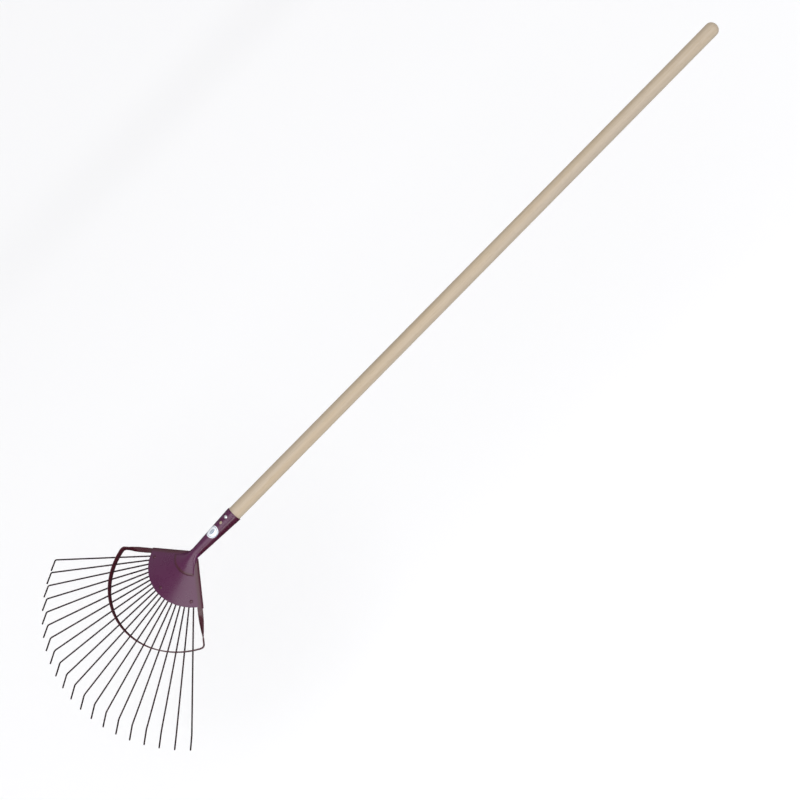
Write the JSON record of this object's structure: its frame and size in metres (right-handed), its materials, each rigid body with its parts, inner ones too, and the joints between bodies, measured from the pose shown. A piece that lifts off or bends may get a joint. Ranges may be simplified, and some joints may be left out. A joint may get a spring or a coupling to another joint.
{
  "type": "leaf rake",
  "caption": "Leaf rake: a fan of hooked spring-wire tines clamped between pressed plates and spread by a strip hoop, with a tapered steel socket and a long wooden handle.",
  "frame": {"origin": "on the handle's axis, at the mouth of the socket", "axes": "+X along the handle towards the tines, +Z out of the rake's upper side, XZ is the plane of symmetry"},
  "size_m": [1.7607, 0.497, 0.0887],
  "materials": {
    "handle_wood": "turned and sanded pale hardwood, unvarnished",
    "head_paint": "semi-gloss plum enamel over pressed steel",
    "tine_lacquer": "thin dark plum lacquer over spring steel",
    "nail_steel": "bright zinc-plated",
    "label_vinyl": "white vinyl, plain ring, no wording"
  },
  "bodies": {
    "root": {"back_plate": "head_paint", "fan_cap": "head_paint", "handle": "handle_wood", "hoop": "head_paint", "plate_rivet_1": "head_paint", "plate_rivet_2": "head_paint", "plate_rivet_3": "head_paint", "socket": "head_paint", "socket_label": "label_vinyl", "socket_nail": "nail_steel", "tine_01": "tine_lacquer", "tine_02": "tine_lacquer", "tine_03": "tine_lacquer", "tine_04": "tine_lacquer", "tine_05": "tine_lacquer", "tine_06": "tine_lacquer", "tine_07": "tine_lacquer", "tine_08": "tine_lacquer", "tine_09": "tine_lacquer", "tine_10": "tine_lacquer", "tine_11": "tine_lacquer", "tine_12": "tine_lacquer", "tine_13": "tine_lacquer", "tine_14": "tine_lacquer", "tine_15": "tine_lacquer", "tine_16": "tine_lacquer", "tine_17": "tine_lacquer", "tine_18": "tine_lacquer", "tine_19": "tine_lacquer", "tine_20": "tine_lacquer"}
  },
  "joints": []
}
